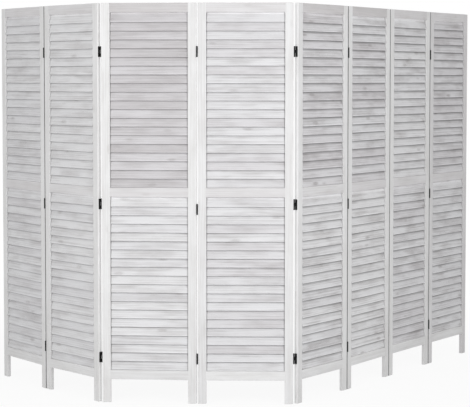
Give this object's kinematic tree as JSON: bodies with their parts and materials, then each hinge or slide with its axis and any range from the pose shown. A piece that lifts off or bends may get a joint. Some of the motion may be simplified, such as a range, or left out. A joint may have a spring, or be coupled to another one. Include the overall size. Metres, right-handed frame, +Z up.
{
  "type": "folding screen",
  "caption": "Free-standing louvered folding screen of wooden panels joined by butt hinges that fold in alternate directions.",
  "frame": {"origin": "middle of the box that the standing screen fills, on the floor", "axes": "+X along the front panel to the right, +Y to the back, where the wings fold, +Z up"},
  "size_m": [2.219, 1.4116, 1.7],
  "materials": {
    "frame_wood": "white-washed softwood, matte, with faint vertical grain",
    "slat_wood": "white-washed softwood, matte, with fine grain along the slat",
    "hinge_steel": "black, satin"
  },
  "bodies": {
    "panel_1": {"panel_1_left_stile": "frame_wood", "panel_1_right_stile": "frame_wood", "panel_1_rails": "frame_wood", "panel_1_lower_slats": "slat_wood", "panel_1_upper_slats": "slat_wood", "panel_1_hinge_leaves": "hinge_steel", "seam_1_hinge_pins": "hinge_steel"},
    "panel_2": {"panel_2_left_stile": "frame_wood", "panel_2_right_stile": "frame_wood", "panel_2_rails": "frame_wood", "panel_2_lower_slats": "slat_wood", "panel_2_upper_slats": "slat_wood", "panel_2_hinge_leaves": "hinge_steel", "seam_2_hinge_pins": "hinge_steel"},
    "panel_3": {"panel_3_left_stile": "frame_wood", "panel_3_right_stile": "frame_wood", "panel_3_rails": "frame_wood", "panel_3_lower_slats": "slat_wood", "panel_3_upper_slats": "slat_wood", "panel_3_hinge_leaves": "hinge_steel", "seam_3_hinge_pins": "hinge_steel"},
    "panel_4": {"panel_4_left_stile": "frame_wood", "panel_4_right_stile": "frame_wood", "panel_4_rails": "frame_wood", "panel_4_lower_slats": "slat_wood", "panel_4_upper_slats": "slat_wood", "panel_4_hinge_leaves": "hinge_steel", "seam_4_hinge_pins": "hinge_steel"},
    "panel_5": {"panel_5_left_stile": "frame_wood", "panel_5_right_stile": "frame_wood", "panel_5_rails": "frame_wood", "panel_5_lower_slats": "slat_wood", "panel_5_upper_slats": "slat_wood", "panel_5_hinge_leaves": "hinge_steel", "seam_5_hinge_pins": "hinge_steel"},
    "panel_6": {"panel_6_left_stile": "frame_wood", "panel_6_right_stile": "frame_wood", "panel_6_rails": "frame_wood", "panel_6_lower_slats": "slat_wood", "panel_6_upper_slats": "slat_wood", "panel_6_hinge_leaves": "hinge_steel", "seam_6_hinge_pins": "hinge_steel"},
    "panel_7": {"panel_7_left_stile": "frame_wood", "panel_7_right_stile": "frame_wood", "panel_7_rails": "frame_wood", "panel_7_lower_slats": "slat_wood", "panel_7_upper_slats": "slat_wood", "panel_7_hinge_leaves": "hinge_steel", "seam_7_hinge_pins": "hinge_steel"},
    "panel_8": {"panel_8_left_stile": "frame_wood", "panel_8_right_stile": "frame_wood", "panel_8_rails": "frame_wood", "panel_8_lower_slats": "slat_wood", "panel_8_upper_slats": "slat_wood", "panel_8_hinge_leaves": "hinge_steel"}
  },
  "joints": [
    {"name": "fold_1_2", "type": "hinge", "parent": "panel_2", "child": "panel_1", "pos_m": [-0.87189, -0.35789, 0.85], "axis": [0, 0, 1], "range_deg": [-7, 185]},
    {"name": "fold_2_3", "type": "hinge", "parent": "panel_3", "child": "panel_2", "pos_m": [-0.58824, -0.65523, 0.85], "axis": [0, 0, -1], "range_deg": [-57, 128]},
    {"name": "fold_3_4", "type": "hinge", "parent": "panel_4", "child": "panel_3", "pos_m": [-0.18006, -0.70282, 0.85], "axis": [0, 0, 1], "range_deg": [-8, 184]},
    {"name": "fold_4_5", "type": "hinge", "parent": "panel_4", "child": "panel_5", "pos_m": [0.23044, -0.68382, 0.85], "axis": [0, 0, 1], "range_deg": [-68.5, 93.5]},
    {"name": "fold_5_6", "type": "hinge", "parent": "panel_5", "child": "panel_6", "pos_m": [0.47285, -0.352, 0.85], "axis": [0, 0, -1], "range_deg": [-9, 183]},
    {"name": "fold_6_7", "type": "hinge", "parent": "panel_6", "child": "panel_7", "pos_m": [0.66483, 0.01134, 0.85], "axis": [0, 0, 1], "range_deg": [-11, 177]},
    {"name": "fold_7_8", "type": "hinge", "parent": "panel_7", "child": "panel_8", "pos_m": [0.89551, 0.35142, 0.85], "axis": [0, 0, -1], "range_deg": [-12.5, 179.5]}
  ]
}
